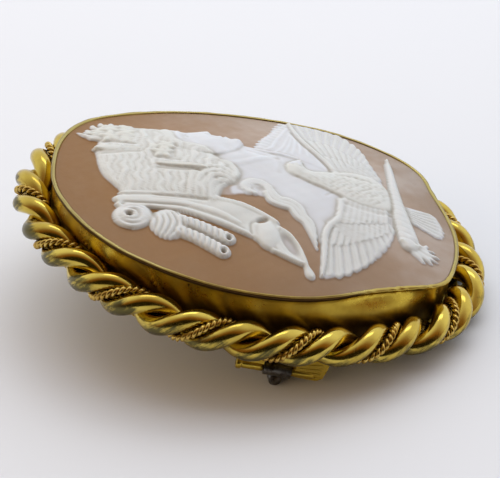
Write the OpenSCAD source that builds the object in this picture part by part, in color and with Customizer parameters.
// Oval shell cameo brooch with a twisted rope border, lying face up.
// Lengths are millimetres. The plate is drawn level, with its rim top at zero height,
// X to the right of the portrait and Y to its head, and is then tipped to its resting attitude.

/* [Oval] */
// Half of the rim's length, head to foot
half_length = 24; // [20:0.5:30]
// Half of the rim's width
half_width = 19; // [16:0.5:24]
// How much of the hand cut unevenness the shell and its rim have
rim_unevenness = 0.85; // [0:0.1:1.2]
// How much of the hand cut unevenness the foot of the wall and the rope have
foot_unevenness = 0.45; // [0:0.05:1]

/* [Setting] */
// Height of the setting from its foot to the rim top
setting_height = 6.8; // [6.2:0.1:6.8]
// Width of the bright rim seen from above
lip_width = 0.9; // [0.7:0.05:1.2]
// Thickness of the rim
lip_thickness = 0.4; // [0.3:0.05:0.6]
// How far the rim stands out from the wall
lip_overhang = 0.15; // [0:0.05:0.3]
// Thickness of the wall
wall = 0.5; // [0.4:0.05:0.8]
// How far the foot of the wall stands in from the rim
wall_taper = 0.25; // [0.15:0.05:0.5]
// Thickness of the ledge that carries the shell
ledge_thickness = 0.6; // [0.4:0.1:1]
// How far the ledge reaches under the shell
ledge_reach = 1.1; // [0.6:0.1:2]
// Thickness of the foot plate
foot_thickness = 0.55; // [0.4:0.05:0.8]
// How far the foot plate reaches out beside the rope
foot_reach = 0.65; // [0.2:0.05:0.7]

/* [Rope] */
// Diameter of each thick wire
wire_d = 2.1; // [1.6:0.05:2.2]
// Gap between wires that lie together
wire_gap = 0.1; // [0.06:0.02:0.2]
// Length of rope in which a wire makes one turn
rope_pitch = 9.9; // [9:0.1:12]
// Depth of the rope's middle below the rim top
rope_drop = 4.4; // [3.8:0.1:4.4]
// Gap between the rope and the wall
rope_gap = 0.15; // [0.1:0.05:0.3]
// Turn of the first wire at the foot end, from outward
rope_start = 60; // [0:5:355]
// Diameter of the fine twist laid in one groove
fine_d = 0.9; // [0.7:0.05:1]
// Gap between the fine twist and the thick wires
fine_gap = 0.1; // [0.08:0.02:0.2]

/* [Shell] */
// Thickness of the shell at its edge
shell_edge = 1.8; // [1.4:0.1:2.4]
// Rise of the shell's ground from its edge to its middle
dome_rise = 2.2; // [1:0.1:3]
// Depth of the hollow in the shell's back
back_hollow = 1.2; // [0.4:0.1:1.6]
// Greatest height of the carving above the ground
relief_height = 1.7; // [1:0.1:2.2]
// Gap between the shell and the setting
shell_gap = 0.1; // [0.05:0.05:0.2]

/* [Hinge] */
// Distance of the hinge from the middle, towards the foot
hinge_offset = 3.65; // [2:0.05:5]
// Depth of the hinge axis below the foot plate
hinge_drop = 2.35; // [1.3:0.05:2.8]
// How far out from the oval the hinge axis stands
hinge_out = 0.3; // [0:0.05:0.5]
// Diameter of the steel barrel on the pin
barrel_d = 1.7; // [1.5:0.05:2]
// Room for the barrel between the fixed knuckles
barrel_room = 3.1; // [2.4:0.1:4]
// Diameter of the fixed knuckles
knuckle_d = 1.1; // [1:0.05:1.4]
// Length of the fixed knuckle towards the head, without its disc
knuckle_length = 2.4; // [1.5:0.1:3]
// Diameter of the disc that ends this knuckle
disc_d = 1.35; // [1.1:0.05:1.8]
// Thickness of the disc
disc_thickness = 0.6; // [0.4:0.1:1]
// Length of the fan shaped knuckle towards the foot
fan_length = 3.9; // [3:0.1:5]
// How far the fan spreads below its knuckle
fan_spread = 0.35; // [0.1:0.05:0.5]
// Diameter of the rivet
rivet_d = 0.6; // [0.4:0.05:0.6]
// Length of the rivet in the fan shaped knuckle
rivet_hold = 2.2; // [1.5:0.1:2.8]
// Gap round the rivet and beside the barrel
hinge_gap = 0.06; // [0.04:0.01:0.1]

/* [Pin] */
// Diameter of the thick root of the pin
root_d = 1.44; // [1.1:0.02:1.6]
// Length of the straight root inside the hinge axis
root_length = 3.2; // [2:0.1:5]
// Length of the root outside the hinge axis
root_stub = 0.7; // [0.4:0.05:0.9]
// How deep the root is sunk into the barrel
root_sink = 0.2; // [0.1:0.05:0.3]
// Length of the cone from the root to the stem
cone_length = 5; // [3:0.5:8]
// Diameter of the stem
stem_d = 0.9; // [0.7:0.05:1]
// Length of the sharpened end
point_length = 4.5; // [3:0.5:6]
// Diameter of the blunted tip
tip_d = 0.2; // [0.1:0.05:0.3]
// How far the pin reaches past the middle of the catch
pin_overrun = 2.2; // [1.5:0.1:3]

/* [Catch] */
// Distance of the catch from the middle, towards the head
catch_offset = 4; // [3.5:0.1:6]
// Thickness of the hook
hook_thickness = 0.6; // [0.5:0.05:0.8]
// Outer radius of the hook
hook_radius = 1.3; // [1.15:0.05:1.6]
// Width of the hook
hook_width = 2.2; // [1.5:0.1:3]
// Gap between the pin and the lip of the hook
mouth_gap = 0.2; // [0.15:0.05:0.4]

/* [Hidden] */
$fn = 48;

gold = "goldenrod";
pale_gold = "gold";
steel = "dimgray";
shell_colour = "tan";

// The hand cut outline: each wave runs round the oval a whole number of times.
// Columns: waves, share of the radius, angle of its crest
outline_waves = [
    [3, -0.025, 63],
    [4, -0.023, 83],
    [5, -0.011, -45],
];

// The carving, as rounded masses.
// Columns: across and up as shares of the half width and half length,
// half length and half breadth as shares of half_length, turn, height as a share of relief_height
carving = [
    [0.07, 0.57, 0.33, 0.27, 75, 1],
    [0.28, 0.38, 0.24, 0.17, 80, 0.85],
    [-0.12, 0.33, 0.2, 0.15, 100, 0.85],
    [0.33, 0.79, 0.14, 0.09, 150, 0.95],
    [0.15, 0.06, 0.22, 0.15, 95, 0.62],
    [0.02, -0.15, 0.33, 0.2, 20, 0.6],
    [0.55, -0.12, 0.3, 0.13, -14, 0.5],
    [-0.54, 0.625, 0.11, 0.11, 0, 0.9],
    [-0.59, 0.45, 0.11, 0.08, 0, 0.85],
    [-0.69, 0.275, 0.12, 0.06, 72, 0.75],
    [-0.59, 0.265, 0.12, 0.06, 72, 0.75],
    [-0.4, 0.33, 0.35, 0.095, 80, 0.75],
    [-0.6, -0.1, 0.17, 0.07, 55, 0.6],
    [-0.42, -0.44, 0.33, 0.14, -14, 0.75],
    [0.6, -0.35, 0.33, 0.16, 20, 0.75],
    [0.1, -0.38, 0.31, 0.13, 84, 1],
    [0.02, -0.67, 0.42, 0.07, 2, 0.9],
    [-0.44, -0.74, 0.08, 0.06, 60, 0.7],
    [-0.06, -0.78, 0.13, 0.09, 80, 0.6],
];
carving_margin = 0.08;

spokes = 80;
top_rings = 28;
back_rings = 3;
setting_sections = 72;
wire_sides = 10;
fine_sides = 6;
rings_per_turn = 10;
hook_end_turn = 100;

wire_r = wire_d/2;
lay_r = wire_r + wire_gap/2;
rope_r = lay_r + wire_r;
rope_out = rope_r + rope_gap - wall_taper;
shoulder_depth = rope_drop - rope_r;
foot_top = setting_height - foot_thickness;
shell_top = lip_thickness + shell_gap;
shell_bottom = shell_top + shell_edge;
ledge_top = shell_bottom + shell_gap;

// How far from the rope's middle the fine twist must lie to rest in the slanting groove
function wire_distance(lay, skew) =
    sqrt(lay*lay + lay_r*lay_r - 2*lay*lay_r*cos(90 + skew) + pow(rope_pitch*skew/360, 2));
function nearest_wire(lay) = min([for (skew = [-60:2:0]) wire_distance(lay, skew)]);
function seated(lay) =
    nearest_wire(lay) < wire_r + fine_d/2 + fine_gap ? seated(lay + wire_gap/10) : lay;
fine_lay_r = seated(lay_r);

// Outline of the plate, grown outwards by a length
function unevenness(turn, share) =
    1 + share*sum_of([for (wave = outline_waves) wave[1]*cos(wave[0]*turn - wave[2])]);
function sum_of(values, index = 0) =
    index < len(values) ? values[index] + sum_of(values, index + 1) : 0;
function oval(turn, share) =
    unevenness(turn, share)*[half_width*cos(turn), half_length*sin(turn)];
function outline(turn, share, out) =
    let (along = oval(turn + 1, share) - oval(turn - 1, share))
    oval(turn, share) + out*[along.y, -along.x]/norm(along);
function outward(turn, share) =
    let (along = oval(turn + 1, share) - oval(turn - 1, share))
    [along.y, -along.x, 0]/norm(along);

// Places under the foot plate
foot_middle = (foot_reach - wall_taper - wall)/2;
hinge_x = outline(180 + asin(hinge_offset/half_length), foot_unevenness, hinge_out).x;
hinge_y = -hinge_offset;
hinge_z = -setting_height - hinge_drop;
catch_x = outline(asin(catch_offset/half_length), foot_unevenness, foot_middle).x;
root_z = hinge_z - barrel_d/2 - root_d/2 + root_sink;

// The resting attitude: the root of the pin and the foot end of the rope touch the ground
rope_end_y = outline(-90, foot_unevenness, rope_out).y;
reach = norm([hinge_y - rope_end_y, root_z + rope_drop]);
rest_tilt = asin((root_d/2 - rope_r)/reach) - atan2(root_z + rope_drop, hinge_y - rope_end_y);
ground = hinge_y*sin(rest_tilt) + root_z*cos(rest_tilt) - root_d/2;
hook_z = (ground + hook_radius - catch_offset*sin(rest_tilt))/cos(rest_tilt);
stem_y = catch_offset - hook_radius*sin(hook_end_turn - 90) - mouth_gap - stem_d/2;

// The middle line of the rope, with its length so far
start_turn = -90;
line_steps = 360;
rope_line = [for (step = [0:line_steps])
    let (turn = start_turn + 360*step/line_steps, point = outline(turn, foot_unevenness, rope_out))
    [point.x, point.y, -rope_drop]];
line_lengths = [for (step = 0, length = 0; step <= line_steps;
    length = step < line_steps ? length + norm(rope_line[step + 1] - rope_line[step]) : length,
    step = step + 1) length];
rope_length = line_lengths[line_steps];
rope_turns = round(rope_length/rope_pitch);
rope_rings = rope_turns*rings_per_turn;

// Where the assembly stands over the origin, from the rope's outer reach
tipped_y = [for (point = rope_line) point.y*cos(rest_tilt) - point.z*sin(rest_tilt)];
line_x = [for (point = rope_line) point.x];
stand_x = -(max(line_x) + min(line_x))/2;
stand_y = -(max(tipped_y) + min(tipped_y))/2;

module resting() {
    translate([stand_x, stand_y, -ground])
        rotate([rest_tilt, 0, 0])
            children();
}

// A closed tube swept round a loop of centres; outs says which way its first side faces
module loop_tube(centres, outs, radius, sides) {
    rings = len(centres);
    points = [for (ring = [0:rings - 1])
        let (
            ahead = centres[(ring + 1) % rings] - centres[(ring + rings - 1) % rings],
            along = ahead/norm(ahead),
            level = outs[ring] - (outs[ring]*along)*along,
            first = level/norm(level),
            second = cross(along, first)
        )
        for (side = [0:sides - 1])
            centres[ring] + radius*(cos(360*side/sides)*first + sin(360*side/sides)*second)];
    polyhedron(points, loop_faces(rings, sides), convexity = 8);
}
function loop_faces(rings, sides) = [for (ring = [0:rings - 1], side = [0:sides - 1])
    let (
        next_ring = (ring + 1) % rings,
        next_side = (side + 1) % sides,
        a = ring*sides + side,
        b = ring*sides + next_side,
        c = next_ring*sides + next_side,
        d = next_ring*sides + side
    )
    for (face = [[a, c, b], [a, d, c]]) face];

// A wire laid round the rope's middle line
function step_at(length, low = 0, high = line_steps) =
    high - low <= 1 ? low :
    let (middle = floor((low + high)/2))
    line_lengths[middle] <= length ? step_at(length, middle, high) : step_at(length, low, middle);
function turn_at(length) =
    let (
        step = step_at(length),
        part = (length - line_lengths[step])/(line_lengths[step + 1] - line_lengths[step])
    )
    start_turn + 360*(step + part)/line_steps;
module laid_wire(radius, lay_radius, lay_start, sides) {
    laid = [for (ring = [0:rope_rings - 1])
        let (
            turn = turn_at(rope_length*ring/rope_rings),
            lay = lay_start + 360*ring/rings_per_turn,
            out = cos(lay)*outward(turn, foot_unevenness) + sin(lay)*[0, 0, 1],
            middle = outline(turn, foot_unevenness, rope_out)
        )
        [[middle.x, middle.y, -rope_drop] + lay_radius*out, out]];
    loop_tube([for (ring = laid) ring[0]], [for (ring = laid) ring[1]], radius, sides);
}

// The shell: a domed ground with the carving raised on it
function mass_height(mass, spot) =
    let (
        offset_x = spot.x - mass[0]*half_width,
        offset_y = spot.y - mass[1]*half_length,
        along = (offset_x*cos(mass[4]) + offset_y*sin(mass[4]))/(mass[2]*half_length),
        across = (offset_y*cos(mass[4]) - offset_x*sin(mass[4]))/(mass[3]*half_length),
        away = along*along + across*across
    )
    away < 1 ? mass[5]*pow(1 - away, 1.5) : 0;
function carved(spot, share) =
    relief_height*min(1, (1 - share)/carving_margin)*max([for (mass = carving) mass_height(mass, spot)]);
function shell_spot(turn, share) = share*outline(turn, rim_unevenness, -lip_overhang - wall - shell_gap);
function top_point(turn, share) =
    let (spot = shell_spot(turn, share))
    [spot.x, spot.y, -shell_top + dome_rise*(1 - share*share) + carved(spot, share)];
function back_point(turn, share) =
    let (spot = share*outline(turn, foot_unevenness, -wall_taper - wall - shell_gap))
    [spot.x, spot.y, -shell_bottom + back_hollow*(1 - share*share)];
module cameo() {
    first_back = 1 + top_rings*spokes;
    last = first_back + back_rings*spokes;
    points = concat(
        [top_point(0, 0)],
        [for (ring = [1:top_rings], spoke = [0:spokes - 1])
            top_point(360*spoke/spokes, ring/top_rings)],
        [for (ring = [back_rings:-1:1], spoke = [0:spokes - 1])
            back_point(360*spoke/spokes, ring/back_rings)],
        [back_point(0, 0)]
    );
    bands = top_rings + back_rings - 1;
    faces = concat(
        [for (spoke = [0:spokes - 1]) [0, 1 + (spoke + 1) % spokes, 1 + spoke]],
        [for (band = [0:bands - 1], spoke = [0:spokes - 1])
            let (
                next = (spoke + 1) % spokes,
                a = 1 + band*spokes + spoke,
                b = 1 + band*spokes + next,
                c = 1 + (band + 1)*spokes + next,
                d = 1 + (band + 1)*spokes + spoke
            )
            for (face = [[a, b, c], [a, c, d]]) face],
        [for (spoke = [0:spokes - 1]) [last - spokes + spoke, last - spokes + (spoke + 1) % spokes, last]]
    );
    color(shell_colour)
        resting()
            polyhedron(points, faces, convexity = 10);
}

// The bezel: its section, from the rim down the outside and up the inside.
// Columns: outwards from the outline, height, share of the unevenness
section = [
    [0, 0, rim_unevenness],
    [0, -lip_thickness, rim_unevenness],
    [-lip_overhang, -lip_thickness, rim_unevenness],
    [-wall_taper, -shoulder_depth, foot_unevenness],
    [-wall_taper, -foot_top, foot_unevenness],
    [foot_reach, -foot_top, foot_unevenness],
    [foot_reach, -setting_height, foot_unevenness],
    [-wall_taper - wall, -setting_height, foot_unevenness],
    [-wall_taper - wall, -ledge_top - ledge_thickness, foot_unevenness],
    [-wall_taper - wall - ledge_reach, -ledge_top - ledge_thickness, foot_unevenness],
    [-wall_taper - wall - ledge_reach, -ledge_top, foot_unevenness],
    [-wall_taper - wall, -ledge_top, foot_unevenness],
    [-lip_overhang - wall, -lip_thickness, rim_unevenness],
    [-lip_width, -lip_thickness, rim_unevenness],
    [-lip_width, 0, rim_unevenness],
];
module bezel() {
    points = [for (index = [0:setting_sections - 1], corner = section)
        let (spot = outline(360*index/setting_sections, corner[2], corner[0]))
        [spot.x, spot.y, corner[1]]];
    polyhedron(points, loop_faces(setting_sections, len(section)), convexity = 10);
}

// A cylinder along the hinge axis, from one distance along the plate to another
module along_hinge(diameter, from_y, to_y) {
    translate([hinge_x, from_y, hinge_z])
        rotate([-90, 0, 0])
            cylinder(d = diameter, h = to_y - from_y);
}
room_top = hinge_y + barrel_room/2;
room_bottom = hinge_y - barrel_room/2;
disc_start = room_top + knuckle_length;
rivet_end = room_bottom - rivet_hold;

module head_knuckle() {
    along_hinge(knuckle_d, room_top, disc_start + disc_thickness/2);
    along_hinge(disc_d, disc_start, disc_start + disc_thickness);
    translate([hinge_x - wall/2, room_top + hinge_gap, hinge_z])
        cube([wall, knuckle_length - hinge_gap, hinge_drop + foot_thickness/2]);
}
// The fan: columns are share of its length from the knuckle, and height above the hinge axis
web_top = hinge_drop + foot_thickness/2;
fan_outline = [
    [0.1, -knuckle_d/3],
    [0.1, web_top/2],
    [0.35, web_top],
    [1, web_top],
    [0.9, -knuckle_d/3],
    [0.7, -knuckle_d/2 - fan_spread],
];
module fan_knuckle() {
    along_hinge(knuckle_d, rivet_end - wall/2, room_bottom);
    translate([hinge_x - knuckle_d/3, room_bottom, hinge_z])
        rotate([90, 0, 90])
            linear_extrude(height = knuckle_d/3 + foot_reach)
                polygon([for (corner = fan_outline) [-corner[0]*fan_length, corner[1]]]);
}
module hook() {
    post_top = -setting_height + foot_thickness/2;
    beyond = 3*hook_radius;
    translate([catch_x - hook_width/2, 0, 0])
        rotate([90, 0, 90])
            linear_extrude(height = hook_width)
                translate([catch_offset, hook_z]) {
                    intersection() {
                        difference() {
                            circle(r = hook_radius);
                            circle(r = hook_radius - hook_thickness);
                        }
                        polygon([
                            [0, 0],
                            [beyond, 0],
                            [beyond, -beyond],
                            [-beyond*sin(hook_end_turn - 90), -beyond],
                        ]);
                    }
                    translate([hook_radius - hook_thickness, 0])
                        square([hook_thickness, post_top - hook_z]);
                }
}
module setting() {
    color(gold)
        resting()
            difference() {
                union() {
                    bezel();
                    head_knuckle();
                    fan_knuckle();
                    hook();
                }
                along_hinge(rivet_d + 2*hinge_gap, rivet_end, disc_start + 2*disc_thickness);
            }
}

module rope_strand_1() {
    color(gold)
        resting()
            laid_wire(wire_r, lay_r, rope_start, wire_sides);
}
module rope_strand_2() {
    color(gold)
        resting()
            laid_wire(wire_r, lay_r, rope_start + 180, wire_sides);
}
module fine_twist() {
    color(pale_gold)
        resting()
            laid_wire(fine_d/2, fine_lay_r, rope_start + 90, fine_sides);
}

// The pin: a barrel on the rivet, a thick root below it that lies along the ground, and the stem
function unit(vector) = vector/norm(vector);
root_middle = [hinge_x, hinge_y, root_z];
catch_point = [catch_x, stem_y, hook_z];
flat_run = [catch_x - hinge_x, (stem_y - hinge_y)/cos(rest_tilt)];
root_run = unit([flat_run.x, flat_run.y*cos(rest_tilt), -flat_run.y*sin(rest_tilt)]);
root_start = root_middle - root_stub*root_run;
cone_start = root_middle + root_length/2*root_run;
stem_run = unit(catch_point - cone_start);
cone_run = cone_length + root_length/2;
stem_start = cone_start + cone_run*stem_run;
stem_length = norm(catch_point - stem_start) + pin_overrun - point_length;

module placed_along(start, run) {
    translate(start)
        rotate([0, acos(run.z), atan2(run.y, run.x)])
            children();
}
module root(length) {
    edge = 0.25*root_d;
    rotate_extrude()
        polygon([
            [0, 0],
            [root_d/2 - edge, 0],
            [root_d/2, edge],
            [root_d/2, length - edge],
            [root_d/2 - edge, length],
            [0, length],
        ]);
}
module stem() {
    cone_d = root_d - 2*hinge_gap;
    rotate_extrude()
        polygon([
            [0, 0],
            [cone_d/2, 0],
            [stem_d/2, cone_run],
            [stem_d/2, cone_run + stem_length],
            [tip_d/2, cone_run + stem_length + point_length],
            [0, cone_run + stem_length + point_length],
        ]);
}
module pin_stem() {
    color(steel)
        resting() {
            difference() {
                union() {
                    along_hinge(barrel_d, room_bottom + hinge_gap, room_top - hinge_gap);
                    placed_along(root_start, root_run)
                        root(root_stub + root_length);
                    placed_along(cone_start, stem_run)
                        stem();
                }
                along_hinge(rivet_d + 2*hinge_gap, room_bottom, room_top);
            }
        }
}

module hinge_rivet() {
    color(steel)
        resting()
            along_hinge(rivet_d, rivet_end + hinge_gap, disc_start + disc_thickness);
}

cameo();
setting();
rope_strand_1();
rope_strand_2();
fine_twist();
pin_stem();
hinge_rivet();
